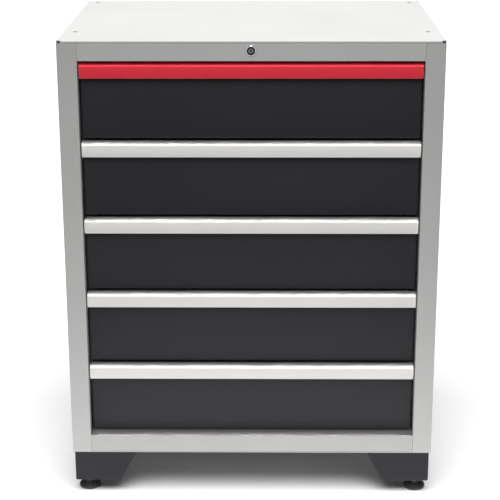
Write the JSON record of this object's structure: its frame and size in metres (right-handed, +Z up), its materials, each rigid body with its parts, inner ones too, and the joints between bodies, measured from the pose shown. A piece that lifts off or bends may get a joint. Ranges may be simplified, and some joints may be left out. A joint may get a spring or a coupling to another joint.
{
  "type": "drawer tool cabinet",
  "caption": "Floor-standing sheet steel tool cabinet with full-width drawers on telescopic runners, a central lock in the top rail, bent corner legs and screw levelling feet.",
  "frame": {"origin": "on the floor, under the middle of the cabinet frame", "axes": "+Z up, -Y towards the drawer fronts, +X to the right as seen from the front"},
  "size_m": [0.711, 0.5244, 0.908],
  "materials": {
    "frame_paint": "satin powder coat",
    "drawer_paint": "satin powder coat",
    "leg_paint": "satin powder coat",
    "red_pull": "red anodised",
    "silver_pull": "satin anodised",
    "zinc_steel": "zinc plated",
    "lock_chrome": "polished chrome",
    "lock_steel": "satin",
    "foot_plastic": "moulded matte"
  },
  "bodies": {
    "cabinet": {"left_side_panel": "frame_paint", "right_side_panel": "frame_paint", "back_panel": "frame_paint", "top_panel": "frame_paint", "bottom_panel": "frame_paint", "top_rail": "frame_paint", "bottom_rail": "frame_paint", "left_front_upright": "zinc_steel", "left_rear_upright": "zinc_steel", "right_front_upright": "zinc_steel", "right_rear_upright": "zinc_steel", "front_left_leg": "leg_paint", "front_right_leg": "leg_paint", "rear_left_leg": "leg_paint", "rear_right_leg": "leg_paint", "leg_bolts": "zinc_steel", "foot_nuts": "zinc_steel", "left_cabinet_runners": "zinc_steel", "right_cabinet_runners": "zinc_steel", "back_rivets": "zinc_steel", "lock_barrel": "lock_chrome", "lock_nut": "zinc_steel", "lock_rod_bracket": "zinc_steel", "lock_bar_guides": "zinc_steel"},
    "drawer_1": {"drawer_1_box": "drawer_paint", "drawer_1_front": "drawer_paint", "drawer_1_pull": "red_pull", "drawer_1_inner_runners": "zinc_steel"},
    "runners_1": {"drawer_1_middle_runners": "zinc_steel"},
    "drawer_2": {"drawer_2_box": "drawer_paint", "drawer_2_front": "drawer_paint", "drawer_2_pull": "silver_pull", "drawer_2_inner_runners": "zinc_steel"},
    "runners_2": {"drawer_2_middle_runners": "zinc_steel"},
    "drawer_3": {"drawer_3_box": "drawer_paint", "drawer_3_front": "drawer_paint", "drawer_3_pull": "silver_pull", "drawer_3_inner_runners": "zinc_steel"},
    "runners_3": {"drawer_3_middle_runners": "zinc_steel"},
    "drawer_4": {"drawer_4_box": "drawer_paint", "drawer_4_front": "drawer_paint", "drawer_4_pull": "silver_pull", "drawer_4_inner_runners": "zinc_steel"},
    "runners_4": {"drawer_4_middle_runners": "zinc_steel"},
    "drawer_5": {"drawer_5_box": "drawer_paint", "drawer_5_front": "drawer_paint", "drawer_5_pull": "silver_pull", "drawer_5_inner_runners": "zinc_steel"},
    "runners_5": {"drawer_5_middle_runners": "zinc_steel"},
    "lock_core": {"lock_plug": "lock_steel", "lock_rod": "zinc_steel"},
    "lock_slider": {"lock_bar": "zinc_steel"},
    "front_left_foot": {"front_left_pad": "foot_plastic"},
    "front_left_screw": {"front_left_stem": "zinc_steel"},
    "front_right_foot": {"front_right_pad": "foot_plastic"},
    "front_right_screw": {"front_right_stem": "zinc_steel"},
    "rear_left_foot": {"rear_left_pad": "foot_plastic"},
    "rear_left_screw": {"rear_left_stem": "zinc_steel"},
    "rear_right_foot": {"rear_right_pad": "foot_plastic"},
    "rear_right_screw": {"rear_right_stem": "zinc_steel"}
  },
  "joints": [
    {"name": "drawer_1_slide", "type": "slide", "parent": "cabinet", "child": "drawer_1", "axis": [0, -1, 0], "range_m": [0, 0.42]},
    {"name": "drawer_1_runner_slide", "type": "slide", "parent": "cabinet", "child": "runners_1", "axis": [0, -1, 0], "range_m": [0, 0.21]},
    {"name": "drawer_2_slide", "type": "slide", "parent": "cabinet", "child": "drawer_2", "axis": [0, -1, 0], "range_m": [0, 0.42]},
    {"name": "drawer_2_runner_slide", "type": "slide", "parent": "cabinet", "child": "runners_2", "axis": [0, -1, 0], "range_m": [0, 0.21]},
    {"name": "drawer_3_slide", "type": "slide", "parent": "cabinet", "child": "drawer_3", "axis": [0, -1, 0], "range_m": [0, 0.42]},
    {"name": "drawer_3_runner_slide", "type": "slide", "parent": "cabinet", "child": "runners_3", "axis": [0, -1, 0], "range_m": [0, 0.21]},
    {"name": "drawer_4_slide", "type": "slide", "parent": "cabinet", "child": "drawer_4", "axis": [0, -1, 0], "range_m": [0, 0.42]},
    {"name": "drawer_4_runner_slide", "type": "slide", "parent": "cabinet", "child": "runners_4", "axis": [0, -1, 0], "range_m": [0, 0.21]},
    {"name": "drawer_5_slide", "type": "slide", "parent": "cabinet", "child": "drawer_5", "axis": [0, -1, 0], "range_m": [0, 0.42]},
    {"name": "drawer_5_runner_slide", "type": "slide", "parent": "cabinet", "child": "runners_5", "axis": [0, -1, 0], "range_m": [0, 0.21]},
    {"name": "lock_turn", "type": "hinge", "parent": "cabinet", "child": "lock_core", "pos_m": [0, -0.2605, 0.889], "axis": [0, 1, 0], "range_deg": [0, 90]},
    {"name": "lock_bar_lift", "type": "slide", "parent": "cabinet", "child": "lock_slider", "axis": [0, 0, 1], "range_m": [0, 0.01202]},
    {"name": "front_left_foot_lift", "type": "slide", "parent": "cabinet", "child": "front_left_foot", "axis": [0, 0, 1], "range_m": [-0.02, 0]},
    {"name": "front_left_foot_turn", "type": "hinge", "parent": "front_left_foot", "child": "front_left_screw", "pos_m": [-0.327, -0.2305, 0.02], "axis": [0, 0, 1], "range_deg": [-4800, 0]},
    {"name": "front_right_foot_lift", "type": "slide", "parent": "cabinet", "child": "front_right_foot", "axis": [0, 0, 1], "range_m": [-0.02, 0]},
    {"name": "front_right_foot_turn", "type": "hinge", "parent": "front_right_foot", "child": "front_right_screw", "pos_m": [0.327, -0.2305, 0.02], "axis": [0, 0, 1], "range_deg": [-4800, 0]},
    {"name": "rear_left_foot_lift", "type": "slide", "parent": "cabinet", "child": "rear_left_foot", "axis": [0, 0, 1], "range_m": [-0.02, 0]},
    {"name": "rear_left_foot_turn", "type": "hinge", "parent": "rear_left_foot", "child": "rear_left_screw", "pos_m": [-0.327, 0.2305, 0.02], "axis": [0, 0, 1], "range_deg": [-4800, 0]},
    {"name": "rear_right_foot_lift", "type": "slide", "parent": "cabinet", "child": "rear_right_foot", "axis": [0, 0, 1], "range_m": [-0.02, 0]},
    {"name": "rear_right_foot_turn", "type": "hinge", "parent": "rear_right_foot", "child": "rear_right_screw", "pos_m": [0.327, 0.2305, 0.02], "axis": [0, 0, 1], "range_deg": [-4800, 0]}
  ],
  "couplings": [
    {"joint": "drawer_1_runner_slide", "follows": "drawer_1_slide", "ratio": 0.5},
    {"joint": "drawer_2_runner_slide", "follows": "drawer_2_slide", "ratio": 0.5},
    {"joint": "drawer_3_runner_slide", "follows": "drawer_3_slide", "ratio": 0.5},
    {"joint": "drawer_4_runner_slide", "follows": "drawer_4_slide", "ratio": 0.5},
    {"joint": "drawer_5_runner_slide", "follows": "drawer_5_slide", "ratio": 0.5},
    {"joint": "lock_turn", "follows": "lock_bar_lift", "rad_per_m": 130.67},
    {"joint": "front_left_foot_turn", "follows": "front_left_foot_lift", "rad_per_m": 4188.8},
    {"joint": "front_right_foot_turn", "follows": "front_right_foot_lift", "rad_per_m": 4188.8},
    {"joint": "rear_left_foot_turn", "follows": "rear_left_foot_lift", "rad_per_m": 4188.8},
    {"joint": "rear_right_foot_turn", "follows": "rear_right_foot_lift", "rad_per_m": 4188.8}
  ]
}
